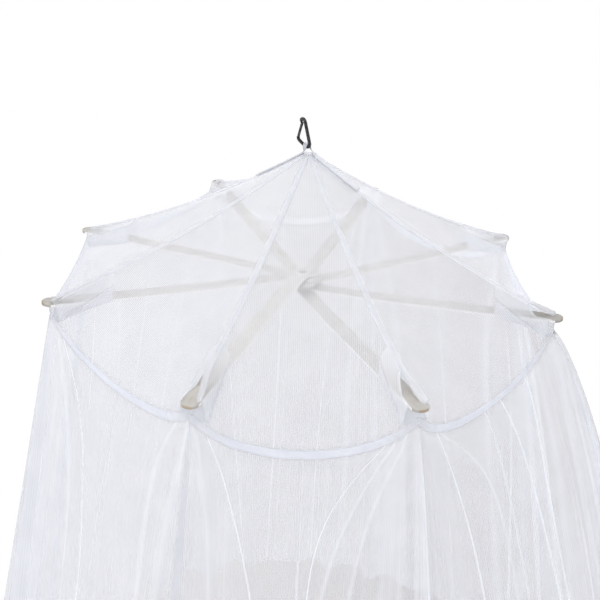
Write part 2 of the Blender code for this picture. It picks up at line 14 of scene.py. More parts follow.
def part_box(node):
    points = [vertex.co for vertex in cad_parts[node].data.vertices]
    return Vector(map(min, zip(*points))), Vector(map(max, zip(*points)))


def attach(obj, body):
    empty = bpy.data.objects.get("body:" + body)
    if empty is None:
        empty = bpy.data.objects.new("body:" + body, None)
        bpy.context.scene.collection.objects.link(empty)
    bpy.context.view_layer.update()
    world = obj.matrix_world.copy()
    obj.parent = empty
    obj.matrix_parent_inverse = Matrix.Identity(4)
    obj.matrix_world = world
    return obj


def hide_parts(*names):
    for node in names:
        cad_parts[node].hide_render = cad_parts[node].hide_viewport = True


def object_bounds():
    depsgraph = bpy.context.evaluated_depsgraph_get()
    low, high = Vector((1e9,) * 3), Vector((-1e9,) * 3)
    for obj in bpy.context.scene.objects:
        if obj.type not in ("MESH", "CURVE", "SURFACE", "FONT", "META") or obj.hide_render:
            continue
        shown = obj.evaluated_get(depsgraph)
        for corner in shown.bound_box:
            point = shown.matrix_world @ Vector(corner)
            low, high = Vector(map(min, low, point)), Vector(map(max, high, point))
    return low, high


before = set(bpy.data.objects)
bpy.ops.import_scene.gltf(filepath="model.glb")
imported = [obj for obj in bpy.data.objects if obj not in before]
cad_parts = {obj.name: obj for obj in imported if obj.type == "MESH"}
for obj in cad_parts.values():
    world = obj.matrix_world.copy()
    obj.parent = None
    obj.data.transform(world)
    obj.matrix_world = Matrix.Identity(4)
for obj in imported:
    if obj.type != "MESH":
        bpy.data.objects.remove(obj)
CAD_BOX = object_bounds()

# ---------------------------------------------------------------- sizes shared with the solids
TIP_RADIUS = 0.625
CLOTH_RADIUS = 0.610
APEX_HEIGHT = 0.303
HUB_HEIGHT = -0.026
HEM_HEIGHT = -1.960
GAP = 0.0004
SLAT_WIDTH = 0.038
SLAT_THICKNESS = 0.0052
SLAT_PITCH = 0.0056
SLAT_TAIL = 0.050
SLAT_FLAT = 0.070
SLAT_BOW = 1.25
SEAM_SAG = 0.026
SEAM_LIFT = 0.0060
SEAM_TAPE_WIDTH = 0.015
SEAM_TAPE_LIFT = 0.0021
SEAM_TAPE_CROWN = 0.0014
EDGE_TAPE_WIDTH = 0.022
EDGE_TAPE_TRIM = 0.0016
CORNER_SHARE = 0.020
CORNER_DROP = 0.0120
CORNER_GROWTH = 30
DROP_GROWTH = 2.2
RIDGE_AT_EDGE = 0.54
RIDGE_GROWTH = 4
SEAM_CLEARANCE = 0.0010
TAPE_CROWDING = 0.36
NOTCH_LENGTH = 0.150
NOTCH_HEAD = 0.022
NOTCH_HALF_INNER = 0.027
NOTCH_HALF_OUTER = 0.035
POCKET_LENGTH = 0.126
POCKET_INSET = 0.0025
POCKET_FLOOR_HALF = 0.0245
POCKET_DEPTH_OUTER = 0.042
POCKET_CLEARANCE = 0.0010
POCKET_RIM_GAP = 0.0016
STRAP_LIFT = 0.0044
STRAP_SEAMS = (2, 6)
ROD_ABOVE_APEX = 0.0095
ROD_SHIFT = Vector((-0.0042, 0.0018, 0.0))
CARABINER_AZIMUTH = radians(131.0)

# Corners clockwise from the front left, seen from above.
# name, azimuth (degrees), height of the slat end, reach of the hem, drop of the side to the next corner
CORNERS = (
    ("front_left", -112.3, -0.012, 1.00, 0.088),
    ("left_front", -156.9, 0.022, 0.98, 0.030),
    ("left_back", 157.2, -0.016, 0.98, 0.045),
    ("back_left", 112.5, 0.008, 1.00, 0.110),
    ("back_right", 67.5, 0.000, 1.04, 0.100),
    ("right_back", 23.6, -0.004, 1.16, 0.052),
    ("right_front", -21.2, 0.005, 1.28, 0.118),
    ("front_right", -70.3, -0.002, 1.10, 0.112),
)
# number of folds, phase (turns), depth at the hem, how early the panel swings out
FOLDS = (
    (5.0, 0.10, 0.034, 0.95),
    (4.5, 0.35, 0.040, 1.00),
    (5.0, 0.80, 0.030, 0.95),
    (4.0, 0.15, 0.036, 0.95),
    (4.5, 0.60, 0.032, 0.95),
    (5.0, 0.45, 0.036, 0.78),
    (4.0, 0.90, 0.042, 0.78),
    (4.5, 0.25, 0.038, 0.85),
)
SKIRT_TUCK = 0.0020
FOLD_START = 0.55
SMALL_FOLD = 0.30
SMALL_FOLD_COUNT = 1.7
SMALL_FOLD_PHASE = 2.3
TOP_CROWDING = 1.3
SKIRT_SEAM_GAP = 0.0003
# distance from the middle, height above the rod (None follows the seam), half width, share of the turn
STRAP_STATIONS = (
    (0.0000, 0.0094, 0.0060, 1.00),
    (0.0046, 0.0082, 0.0060, 1.00),
    (0.0068, 0.0036, 0.0060, 1.00),
    (0.0072, -0.0030, 0.0060, 0.85),
    (0.0084, -0.0072, 0.0068, 0.50),
    (0.0120, None, 0.0082, 0.15),
    (0.0180, None, 0.0100, 0.00),
    (0.0450, None, 0.0100, 0.00),
    (0.0720, None, 0.0100, 0.00),
    (0.0990, None, 0.0100, 0.00),
    (0.1260, None, 0.0100, 0.00),
)

# ---------------------------------------------------------------- sizes of the finish
NET_SHEET = 0.0006           # thickness of the netting as it is drawn
TAPE_SHEET = 0.0011
POCKET_SHEET = 0.0010
SIDES = len(CORNERS)

# The bolt marks the plan centre, and its top washer lies just above the stack of slats.
bolt_low, bolt_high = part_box("hub_bolt")
washer_low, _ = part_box("hub_washer_top")
PLAN_CENTRE = Vector((
    (bolt_low[0] + bolt_high[0]) / 2,
    (bolt_low[1] + bolt_high[1]) / 2,
    washer_low[2] - (HUB_HEIGHT + SIDES / 2 * SLAT_PITCH + GAP),
))


# ---------------------------------------------------------------- small maths
def heading(azimuth):
    return Vector((cos(azimuth), sin(azimuth), 0.0))


def mix(a, b, share):
    return a + (b - a) * share


def clamp(value, low=0.0, high=1.0):
    return min(max(value, low), high)


def smooth_step(share):
    share = clamp(share)
    return share * share * (3 - 2 * share)


def bump(distance, width):
    """A soft ridge: 1 at its middle, nearly 0 at twice its width."""
    return exp(-(distance / width) ** 2)


def ripple(x, y, seed):
    """Smooth noise from -1 to 1."""
    return noise.noise(Vector((x, y, seed)))


def corner_azimuth(index):
    return radians(CORNERS[index % SIDES][1])


def tip_height(index):
    return CORNERS[index % SIDES][2]


# ---------------------------------------------------------------- roof's lines
def seam_point(index, slope):
    height = mix(APEX_HEIGHT, tip_height(index) + SEAM_LIFT, slope) - 4 * SEAM_SAG * slope * (1 - slope)
    return heading(corner_azimuth(index)) * (slope * CLOTH_RADIUS) + Vector((0, 0, height))


def side_width(index, slope):
    return (seam_point(index, slope) - seam_point(index + 1, slope)).length


def corner_share(edge_drop):
    return max(CORNER_SHARE, (CORNER_DROP / edge_drop) ** (1 / RIDGE_AT_EDGE) / 4)


def roof_droop(index, side, slope):
    edge_drop = CORNERS[index % SIDES][4]
    nearest = min(side, 1 - side)
    blunt = min(hypot(nearest, corner_share(edge_drop) * slope ** CORNER_GROWTH), 0.5)
    fullness = mix(1.0, RIDGE_AT_EDGE, slope ** RIDGE_GROWTH)
    return edge_drop * (4 * blunt * (1 - blunt)) ** fullness * slope ** DROP_GROWTH


def roof_point(index, side, slope):
    point = seam_point(index, slope).lerp(seam_point(index + 1, slope), side)
    point.z -= roof_droop(index, side, slope)
    return point


def notch_half(slope):
    distance = (1 - slope) * CLOTH_RADIUS
    if distance >= NOTCH_LENGTH:
        return SEAM_CLEARANCE
    if distance > NOTCH_LENGTH - NOTCH_HEAD:
        return mix(SEAM_CLEARANCE, NOTCH_HALF_INNER, smooth_step((NOTCH_LENGTH - distance) / NOTCH_HEAD))
    return mix(NOTCH_HALF_OUTER, NOTCH_HALF_INNER, distance / (NOTCH_LENGTH - NOTCH_HEAD))


def beside_seam(index, offset, slope):
    if offset < 0:
        return roof_point(index - 1, 1 + offset / side_width(index - 1, slope), slope)
    return roof_point(index, offset / side_width(index, slope), slope)


def slat_level(index):
    return HUB_HEIGHT + ((SIDES - 1) / 2 - index) * SLAT_PITCH


def slat_height(index, radius):
    rise = max(0.0, (radius - SLAT_FLAT) / (TIP_RADIUS - SLAT_FLAT))
    return mix(slat_level(index), tip_height(index), rise ** SLAT_BOW)


# ---------------------------------------------------------------- node helpers
def new_material(name):
    material = bpy.data.materials.new(name)
    material.use_nodes = True
    tree = material.node_tree
    return material, tree, tree.nodes["Principled BSDF"]


def feed(tree, socket, value):
    if isinstance(value, bpy.types.NodeSocket):
        tree.links.new(value, socket)
    else:
        socket.default_value = value


def math_node(tree, operation, first, second=0.0, clamped=False):
    node = tree.nodes.new("ShaderNodeMath")
    node.operation = operation
    node.use_clamp = clamped
    feed(tree, node.inputs[0], first)
    feed(tree, node.inputs[1], second)
    return node.outputs[0]


def attribute(tree, name):
    node = tree.nodes.new("ShaderNodeAttribute")
    node.attribute_name = name
    return node.outputs["Fac"]


def noise_value(tree, vector, scale, detail=2.0, roughness=0.5):
    node = tree.nodes.new("ShaderNodeTexNoise")
    tree.links.new(vector, node.inputs["Vector"])
    node.inputs["Scale"].default_value = scale
    node.inputs["Detail"].default_value = detail
    node.inputs["Roughness"].default_value = roughness
    return node.outputs["Fac"]


def ramp(tree, value, stops):
    """A colour ramp; stops are (place, colour)."""
    node = tree.nodes.new("ShaderNodeValToRGB")
    elements = node.color_ramp.elements
    while len(elements) < len(stops):
        elements.new(0.5)
    for element, (place, colour) in zip(elements, stops):
        element.position = place
        element.color = (*colour, 1.0)
    tree.links.new(value, node.inputs["Fac"])
    return node.outputs["Color"]


def mix_colours(tree, share, first, second, blend="MIX"):
    node = tree.nodes.new("ShaderNodeMix")
    node.data_type = "RGBA"
    node.blend_type = blend
    feed(tree, node.inputs["Factor"], share)
    feed(tree, node.inputs["A"], first)
    feed(tree, node.inputs["B"], second)
    return node.outputs["Result"]


def map_range(tree, value, low, high, at_low=0.0, at_high=1.0):
    node = tree.nodes.new("ShaderNodeMapRange")
    tree.links.new(value, node.inputs["Value"])
    node.inputs["From Min"].default_value = low
    node.inputs["From Max"].default_value = high
    node.inputs["To Min"].default_value = at_low
    node.inputs["To Max"].default_value = at_high
    return node.outputs["Result"]


def wave(tree, vector, scale, axis):
    node = tree.nodes.new("ShaderNodeTexWave")
    node.wave_type = "BANDS"
    node.bands_direction = axis
    tree.links.new(vector, node.inputs["Vector"])
    node.inputs["Scale"].default_value = scale
    return node.outputs["Fac"]


def cloth_place(tree):
    """The flat cloth's own coordinates in metres: across and along."""
    return tree.nodes.new("ShaderNodeUVMap").outputs["UV"]


def add_relief(tree, shader, height, distance, strength=1.0):
    node = tree.nodes.new("ShaderNodeBump")
    node.inputs["Distance"].default_value = distance
    node.inputs["Strength"].default_value = strength
    tree.links.new(height, node.inputs["Height"])
    tree.links.new(node.outputs["Normal"], shader.inputs["Normal"])


# Blender's wave texture repeats every pi / 10 units at scale 1.
WAVE_PERIOD = pi / 10


def weave(tree, pitch):
    """Threads both ways at a pitch in metres, 1 on a thread."""
    place = cloth_place(tree)
    across = wave(tree, place, WAVE_PERIOD / pitch, "X")
    along = wave(tree, place, WAVE_PERIOD / pitch, "Y")
    return math_node(tree, "MAXIMUM", across, along)


# ---------------------------------------------------------------- materials
NET_PITCH = 0.0019
RIB_PITCH = 0.0038           # heavier threads, all one way
NET_COVER = 0.25             # share of light that one face of the netting stops
NET_THREAD_COVER = 0.02      # more of it on the threads
NET_RIB_COVER = 0.03
NET_SHADE = (0.87, 0.875, 0.90)
NET_LIGHT = (0.93, 0.934, 0.955)
# painted highlight: the white that seams, edges, hems and creases are drawn towards, for the light that
# folded netting catches
NET_HIGHLIGHT_WHITE = (0.965, 0.975, 0.995)
# Distances kept on the netting's points: name, half width, blur (metres; shares of a crease's own half
# width for the last five) and how many more layers of netting lie there, which also sets how much the
# netting is whitened there as a painted highlight.
NET_MARKS = (
    ("seam", 0.0022, 0.0010, 2.6),
    ("border", 0.0012, 0.0040, 1.1),
    ("sleeve", -0.0020, 0.0040, 1.1),
    ("hem", 0.0050, 0.0010, 2.0),
    ("line_1", 0.7, 0.5, 3.0),
    ("line_2", 0.7, 0.5, 3.0),
    ("soft_1", 0.2, 0.9, 0.9),
    ("soft_2", 0.2, 0.9, 0.9),
    ("soft_3", 0.2, 0.9, 0.9),
)
INSIDE_MARKS = ("sleeve",)   # distances that are negative inside a patch
MEAN_WAVE = 0.6              # mean of the threads' wave, taken off again so that the pattern adds no cover
CLOUDS = 9.0                 # blotches of tone to the metre
LOW, HIGH = 0.3, 0.7         # where a noise goes from one tone to the other
FAR = 9.0                    # a distance that no mark reaches
END_HALF = 0.030             # length of a tape's end under the corner's cloth
END_BLUR = 0.040
NET_GLOW = 0.50              # share of light that comes through a thread from behind
TAPE_GLOW = 0.65
POCKET_GLOW = 0.50


def let_through(tree, shader, colour, glow):
    """Cloth that also shows light falling on its other side."""
    behind = tree.nodes.new("ShaderNodeBsdfTranslucent")
    feed(tree, behind.inputs["Color"], colour)
    both = tree.nodes.new("ShaderNodeMixShader")
    both.inputs["Fac"].default_value = glow
    tree.links.new(shader.outputs["BSDF"], both.inputs[1])
    tree.links.new(behind.outputs["BSDF"], both.inputs[2])
    return both.outputs["Shader"]


def show_behind(tree, surface, alpha):
    """Lets what is behind show between the threads."""
    clear = tree.nodes.new("ShaderNodeBsdfTransparent")
    both = tree.nodes.new("ShaderNodeMixShader")
    feed(tree, both.inputs["Fac"], alpha)
    tree.links.new(clear.outputs["BSDF"], both.inputs[1])
    tree.links.new(surface, both.inputs[2])
    return both.outputs["Shader"]


def near(tree, name, half, blur):
    """1 where the named distance is within half, falling to 0 over the blur."""
    distance = attribute(tree, name)
    if name not in INSIDE_MARKS:
        distance = math_node(tree, "ABSOLUTE", distance)
    return map_range(tree, distance, half, half + blur, 1.0, 0.0)


def netting_material():
    """Sheer mesh: threads over clear gaps, denser in seams, hems, creases and fold flanks, and drawn whiter
    in seams, edges, hems and creases as a painted highlight.
    """
    material, tree, shader = new_material("netting_mesh")
    place = cloth_place(tree)
    threads = weave(tree, NET_PITCH)
    ribs = wave(tree, place, WAVE_PERIOD / RIB_PITCH, "X")
    cloudy = noise_value(tree, place, CLOUDS, 3.0)
    dense = attribute(tree, "gather")
    white = 0.0
    for name, half, blur, strength in NET_MARKS:
        layer = math_node(tree, "MULTIPLY", near(tree, name, half, blur), strength)
        dense = math_node(tree, "ADD", dense, layer)
        white = math_node(tree, "ADD", layer, white)
    # How far the netting is whitened: a painted highlight on seams, edges, hems and creases.
    white = math_node(tree, "MULTIPLY", white, 0.5, clamped=True)
    tone = ramp(tree, cloudy, ((LOW, NET_SHADE), (HIGH, NET_LIGHT)))
    colour = mix_colours(tree, white, tone, (*NET_HIGHLIGHT_WHITE, 1.0))
    tree.links.new(colour, shader.inputs["Base Color"])
    shader.inputs["Roughness"].default_value = 0.85
    shader.inputs["Specular IOR Level"].default_value = 0.2
    cover = math_node(tree, "MULTIPLY", threads, NET_THREAD_COVER)
    cover = math_node(tree, "ADD", cover, math_node(tree, "MULTIPLY", ribs, NET_RIB_COVER))
    cover = math_node(tree, "ADD", cover, NET_COVER - (NET_THREAD_COVER + NET_RIB_COVER) * MEAN_WAVE)
    clear = math_node(tree, "SUBTRACT", 1.0, cover)
    clear = math_node(tree, "POWER", clear, dense)
    alpha = math_node(tree, "SUBTRACT", 1.0, clear, clamped=True)
    surface = show_behind(tree, let_through(tree, shader, colour, NET_GLOW), alpha)
    tree.links.new(surface, tree.nodes["Material Output"].inputs["Surface"])
    return material


CLOTH_CLOUDS = 30.0          # blotches of tone to the metre


def cloth_material(name, light, dark, pitch, relief, glow, cover=1.0, end_cover=1.0):
    """Plain woven cloth: threads as relief and a tone that drifts a little; it may thin out at its ends."""
    material, tree, shader = new_material(name)
    threads = weave(tree, pitch)
    cloudy = noise_value(tree, cloth_place(tree), CLOTH_CLOUDS, 4.0)
    tone = ramp(tree, cloudy, ((LOW, dark), (HIGH, light)))
    tree.links.new(tone, shader.inputs["Base Color"])
    shader.inputs["Roughness"].default_value = 0.8
    shader.inputs["Specular IOR Level"].default_value = 0.25
    add_relief(tree, shader, threads, relief)
    surface = let_through(tree, shader, tone, glow)
    if cover < 1.0:
        spread = math_node(tree, "MULTIPLY", threads, (1.0 - cover) / 2)
        alpha = math_node(tree, "ADD", spread, cover - (1.0 - cover) / 4)
        if end_cover < 1.0:
            ends = math_node(tree, "MULTIPLY", near(tree, "border", END_HALF, END_BLUR), end_cover - 1.0)
            alpha = math_node(tree, "MULTIPLY", alpha, math_node(tree, "ADD", ends, 1.0))
        surface = show_behind(tree, surface, alpha)
    tree.links.new(surface, tree.nodes["Material Output"].inputs["Surface"])
    return material


WORN_LENGTH = 0.12           # a slat's outer end, where the paint is worn, down to bare wood at its rim
WORN_TONES = (
    (0.0, (1.0, 1.0, 1.0)),
    (0.45, (0.90, 0.90, 0.90)),
    (0.955, (0.86, 0.87, 0.88)),
    (0.985, (0.74, 0.64, 0.51)),
)
PAINT_TONES = (
    (0.10, (0.60, 0.575, 0.54)),
    (0.26, (0.54, 0.51, 0.47)),
    (0.42, (0.45, 0.41, 0.355)),
)
GRAIN_STRETCH = (60.0, 4.0, 1.0)
RUBBED_PATCHES = 26.0        # to the metre
PAINT_RELIEF = 0.0003
# painted highlight on a slat's narrow side faces, where they catch the light
SIDE_FACE_HIGHLIGHT = (0.86, 0.85, 0.82, 1.0)
# How much lighter or darker each slat is drawn, in the order of the corners.
SLAT_TONES = (1.20, 1.0, 1.0, 1.06, 1.0, 1.0, 0.98, 1.0)
# How dark each slat is drawn at its outer end, in the order of the corners; at the right front this is
# painted shade from the wrapped netting.
TIP_SHADE_TONES = (0.96, 0.90, 0.94, 0.94, 0.94, 0.90, 0.74, 0.94)
TIP_TONE_FROM = 0.40
TIP_TONE_FULL = 0.54
SLAT_EDGE = 0.0009           # rounding of a slat's edges


def wood_material():
    """Thin pale paint over wood: grain along the slat, rubbed in places and worn at the outer end."""
    material, tree, shader = new_material("painted_slat")
    place = cloth_place(tree)
    stretch = tree.nodes.new("ShaderNodeMapping")
    stretch.inputs["Scale"].default_value = GRAIN_STRETCH
    tree.links.new(place, stretch.inputs["Vector"])
    grain = noise_value(tree, stretch.outputs["Vector"], 3.0, 6.0, 0.65)
    rubbed = noise_value(tree, place, RUBBED_PATCHES, 4.0, 0.6)
    tone = ramp(tree, math_node(tree, "MULTIPLY", grain, rubbed), PAINT_TONES)
    split = tree.nodes.new("ShaderNodeSeparateXYZ")
    tree.links.new(place, split.inputs["Vector"])
    outer = map_range(tree, split.outputs["Y"], TIP_RADIUS - WORN_LENGTH, TIP_RADIUS)
    tone = mix_colours(tree, 1.0, tone, ramp(tree, outer, WORN_TONES), "MULTIPLY")
    # Each slat's tone scale from its points, which also holds the painted shade at its outer end.
    pale = tree.nodes.new("ShaderNodeVectorMath")
    pale.operation = "SCALE"
    tree.links.new(tone, pale.inputs[0])
    tree.links.new(attribute(tree, "pale"), pale.inputs["Scale"])
    # The slat's narrow side faces are drawn paler as a painted highlight, where they catch the light; across
    # is counted from each slat's own number.
    across = math_node(tree, "SUBTRACT", split.outputs["X"], math_node(tree, "ROUND", split.outputs["X"]))
    across = math_node(tree, "ABSOLUTE", across)
    side = math_node(tree, "GREATER_THAN", across, SLAT_WIDTH / 2 - SLAT_EDGE / 2)
    tone = mix_colours(tree, side, pale.outputs["Vector"], SIDE_FACE_HIGHLIGHT)
    tree.links.new(tone, shader.inputs["Base Color"])
    shader.inputs["Roughness"].default_value = 0.55
    add_relief(tree, shader, grain, PAINT_RELIEF, 0.6)
    return material


SCRATCHES = 900.0
STAINS = 120.0
GLOSS_SPREAD = 0.08


def metal_material(name, colour, roughness, metallic, coat=0.0):
    """Metal with fine scratches in its gloss."""
    material, tree, shader = new_material(name)
    place = tree.nodes.new("ShaderNodeTexCoord").outputs["Object"]
    scratches = noise_value(tree, place, SCRATCHES, 3.0)
    smooth, rough = roughness - GLOSS_SPREAD, roughness + GLOSS_SPREAD
    dull = ramp(tree, scratches, ((0.35, (smooth,) * 3), (0.65, (rough,) * 3)))
    tree.links.new(dull, shader.inputs["Roughness"])
    stain = noise_value(tree, place, STAINS, 3.0)
    tone = ramp(tree, stain, ((LOW, tuple(c * 0.8 for c in colour)), (HIGH, colour)))
    tree.links.new(tone, shader.inputs["Base Color"])
    shader.inputs["Metallic"].default_value = metallic
    shader.inputs["Coat Weight"].default_value = coat
    shader.inputs["Coat Roughness"].default_value = 0.12
    return material


NETTING = netting_material()
TAPE_PITCH = 0.0011
TAPE_RELIEF = 0.0002
TAPE = cloth_material(
    "woven_tape", (0.93, 0.94, 0.975), (0.88, 0.89, 0.93), TAPE_PITCH, TAPE_RELIEF, TAPE_GLOW, 0.80, 0.55
)
# The far side's tape is drawn paler and denser than the others: painted light, for light that comes through
# it from behind.
FAR_TAPE_PAINTED_LIT = cloth_material(
    "far_tape_painted_lit", (0.985, 0.985, 0.99), (0.955, 0.96, 0.97), TAPE_PITCH, TAPE_RELIEF, TAPE_GLOW, 0.97
)
SEAM_TAPE = cloth_material(
    "seam_tape", (0.95, 0.955, 0.975), (0.89, 0.895, 0.92), TAPE_PITCH, TAPE_RELIEF, TAPE_GLOW, 0.52
)
POCKET = cloth_material(
    "pocket_cloth", (0.95, 0.96, 0.985), (0.90, 0.91, 0.945), 0.0008, TAPE_RELIEF, POCKET_GLOW, 0.62
)
WEBBING = cloth_material("ribbed_webbing", (0.78, 0.79, 0.83), (0.71, 0.72, 0.76), 0.0018, 0.0004, 0.1)
WOOD = wood_material()
STEEL = metal_material("zinc_steel", (0.62, 0.62, 0.63), 0.32, 1.0)
BLACK = metal_material("black_anodised", (0.012, 0.012, 0.014), 0.28, 0.4, coat=0.6)


# ---------------------------------------------------------------- building pieces
def finish_piece(item, material, replaced):
    item.data.materials.append(material)
    item.data.shade_smooth()
    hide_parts(*replaced)
    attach(item, "canopy")


def grid_mesh(name, columns, rows, point, flat, marks=None, spread=None):
    """A grid whose points are placed by point(across, along), with its flat coordinates as UVs."""
    bm = bmesh.new()
    bmesh.ops.create_grid(bm, x_segments=columns, y_segments=rows, size=1.0)
    uv = bm.loops.layers.uv.new("flat")
    for face in bm.faces:
        for loop in face.loops:
            side, row = (loop.vert.co.x + 1) / 2, (loop.vert.co.y + 1) / 2
            loop[uv].uv = spread(side, row) if spread else (side * flat[0], row * flat[1])
    names = ("gather", *(entry[0] for entry in NET_MARKS)) if marks else ()
    layers = {mark: bm.verts.layers.float.new(mark) for mark in names}
    for vert in bm.verts:
        side, row = (vert.co.x + 1) / 2, (vert.co.y + 1) / 2
        found = marks(side, row) if marks else {}
        for mark, layer in layers.items():
            vert[layer] = found.get(mark, FAR)
        vert.co = point(side, row) + PLAN_CENTRE
    mesh = bpy.data.meshes.new(name)
    bm.to_mesh(mesh)
    bm.free()
    return mesh


def thicken(item, thickness):
    solid = item.modifiers.new("thickness", "SOLIDIFY")
    solid.thickness = thickness
    solid.offset = 0.0


def cloth_piece(
    name, grid, point, flat, thickness, material, replaced,
    marks=None, spread=None,
):
    """A sheet of cloth on a grid of points, with its flat size setting its UVs."""
    mesh = grid_mesh(name, grid[0], grid[1], point, flat, marks, spread)
    item = bpy.data.objects.new(name, mesh)
    bpy.context.scene.collection.objects.link(item)
    thicken(item, thickness)
    finish_piece(item, material, replaced)
    return item


MOST_DENSITY = 2.4           # layers of netting that a fold's flank shows at most
LEAST_FACING = 0.05


def fold_density(mesh):
    """Netting that runs nearly edge on to the outward direction shows denser, as the flanks of folds do."""
    layer = mesh.attributes["gather"].data
    for index, vert in enumerate(mesh.vertices):
        outward = Vector((vert.co.x - PLAN_CENTRE.x, vert.co.y - PLAN_CENTRE.y, 0.0)).normalized()
        facing = abs(mesh.vertex_normals[index].vector.dot(outward))
        layer[index].value = min(1.0 / max(facing, LEAST_FACING), MOST_DENSITY)


# ---------------------------------------------------------------- roof
GORE_COLUMNS = 44
GORE_ROWS = 64
GORE_INNER = 0.013
GORE_OUTER = 0.9985
APEX_GATHER = 1.45           # layers of netting, as they show at the apex and at the roof's edge
EDGE_GATHER = 1.05
SEAM_STRETCH = 1.13          # length of a seam over its reach in plan
ROOF_WRINKLE = 0.0022
DRIFT_SHARE = 1.2
DRIFT_ACROSS = 5.0
DRIFT_ALONG = 3.0
DRIFT_SEED = 3.1
PULL_SHARE = 0.6
PULL_TURNS = 38.0
PULL_LEAN = 1.15
PULL_CLOSING = 0.9
PULL_WIDTH = 0.30


def roof_wrinkle(index, side, slope):
    """Shallow pull lines that run from the corners into the roof, and a slack drift in between."""
    rim = sin(pi * clamp(side)) * slope
    drift = ripple(side * DRIFT_ACROSS, slope * DRIFT_ALONG, DRIFT_SEED * index)
    lines = 0.0
    for near_side in (side, 1 - side):
        lean = near_side / (PULL_LEAN - PULL_CLOSING * slope + near_side)
        lines += sin(PULL_TURNS * lean) * bump(near_side, PULL_WIDTH)
    return ROOF_WRINKLE * rim * (DRIFT_SHARE * drift + PULL_SHARE * slope ** 3 * lines)


# The netting's opening over each slat's end, at the side before the corner and at the side after it:
# length from the edge, half width at the edge.
OPENINGS = (
    ((0.066, 0.013), (0.090, 0.022)),
    ((0.003, 0.011), (0.003, 0.013)),
    ((0.002, 0.012), (0.002, 0.012)),
    ((0.000, 0.0), (0.000, 0.0)),
    ((0.000, 0.0), (0.000, 0.0)),
    ((0.000, 0.0), (0.000, 0.0)),
    ((0.020, 0.016), (0.062, 0.019)),
    ((0.076, 0.013), (0.086, 0.021)),
)
BEFORE, AFTER = 0, 1
OPENING_TAPER = 0.6
OPEN_FROM = 1.01             # times the seam's clearance
SLAT_COVER = 0.0013          # netting's middle above the wood it lies on
SLAT_OVERLAP = 0.0030        # how far it lies out past the slat's edge
SLAT_FALL = 0.0120           # sideways distance in which it falls back to the roof


def opening_half(index, side, slope):
    """Half width of the opening that the finished netting leaves over a slat's end."""
    length, half = OPENINGS[index % SIDES][side]
    distance = (1 - slope) * CLOTH_RADIUS
    if distance >= length:
        return SEAM_CLEARANCE
    return mix(SEAM_CLEARANCE, half, (1 - distance / length) ** OPENING_TAPER)


def gore_place(index, side, row):
    """Side share, slope and the two shares of the side that openings or seams take."""
    slope = mix(GORE_INNER, GORE_OUTER, row)
    width = side_width(index, slope)
    low = opening_half(index, AFTER, slope) / width
    high = opening_half(index + 1, BEFORE, slope) / width
    return mix(low, 1 - high, 0.5 - 0.5 * cos(pi * side)), slope, low, high


def lie_on_slat(corner, spot, offset):
    """The netting's height where it rests on a slat, or the roof's own height."""
    radius = hypot(spot.x, spot.y)
    top = slat_height(corner, radius) + SLAT_THICKNESS / 2 + SLAT_COVER
    past = (offset - SLAT_WIDTH / 2 - SLAT_OVERLAP) / SLAT_FALL
    if past >= 1.0 or spot.z >= top:
        return spot.z
    return mix(top, spot.z, smooth_step(past))


WRAPPED = (3, 4, 5)          # corners where the netting folds over the slat's end
WRAP_FROM = 0.95
WRAP_TURN = 0.6              # share of the wrapped length that lies on top
WRAP_FADE = 0.012
WRAP_LOOSE = 0.0016


def wrap_end(corner, spot, slope):
    """Draws the netting over a slat's round end and down in front of it."""
    azimuth = corner_azimuth(corner)
    across = spot.dot(heading(azimuth + pi / 2))
    half = SLAT_WIDTH / 2
    weight = 1 - smooth_step((abs(across) - half) / WRAP_FADE)
    share = (slope - WRAP_FROM) / (1 - WRAP_FROM)
    if share <= 0.0 or weight <= 0.0:
        return spot
    inside = min(abs(across), half)
    end = TIP_RADIUS - half + (half * half - inside * inside) ** 0.5 + WRAP_LOOSE
    top = slat_height(corner, TIP_RADIUS) + SLAT_THICKNESS / 2 + SLAT_COVER
    if share < WRAP_TURN:
        along, height = mix(WRAP_FROM * CLOTH_RADIUS, end, share / WRAP_TURN), top
    else:
        down = (share - WRAP_TURN) / (1 - WRAP_TURN)
        along, height = mix(end, CLOTH_RADIUS + WRAP_LOOSE, down), mix(top, spot.z, down)
    wrapped = heading(azimuth) * along + heading(azimuth + pi / 2) * across + Vector((0, 0, height))
    return spot.lerp(wrapped, weight)


SLEEVE_TRIM = 0.003          # slat pockets' edge short of the opening that the netting covers


def make_gore(index):
    flat = (side_width(index, 1.0), CLOTH_RADIUS * SEAM_STRETCH)

    def point(side, row):
        place, slope, _, _ = gore_place(index, side, row)
        spot = roof_point(index, place, slope)
        spot.z += roof_wrinkle(index, place, slope)
        width = side_width(index, slope)
        corner = index if place < 0.5 else (index + 1) % SIDES
        spot.z = lie_on_slat(corner, spot, min(place, 1 - place) * width)
        return wrap_end(corner, spot, slope) if corner in WRAPPED else spot

    def marks(side, row):
        place, slope, low, high = gore_place(index, side, row)
        width = side_width(index, slope)
        after, before = (place - low) * width, (1 - place - high) * width
        at_after = low * width > SEAM_CLEARANCE * OPEN_FROM
        at_before = high * width > SEAM_CLEARANCE * OPEN_FROM
        found = {"gather": mix(APEX_GATHER, EDGE_GATHER, slope)}
        found["seam"] = min(FAR if at_after else after, FAR if at_before else before)
        found["border"] = min(after if at_after else FAR, before if at_before else FAR)
        found["sleeve"] = min(place, 1 - place) * width - notch_half(slope) + SLEEVE_TRIM
        return found

    def spread(side, row):
        place, slope, _, _ = gore_place(index, side, row)
        return ((place - 0.5) * side_width(index, slope), slope * flat[1])

    cloth_piece(
        "net_gore_%d" % (index + 1), (GORE_COLUMNS, GORE_ROWS), point, flat, NET_SHEET, NETTING,
        ["roof_gore_%d" % (index + 1)],
        marks=marks, spread=spread,
    )


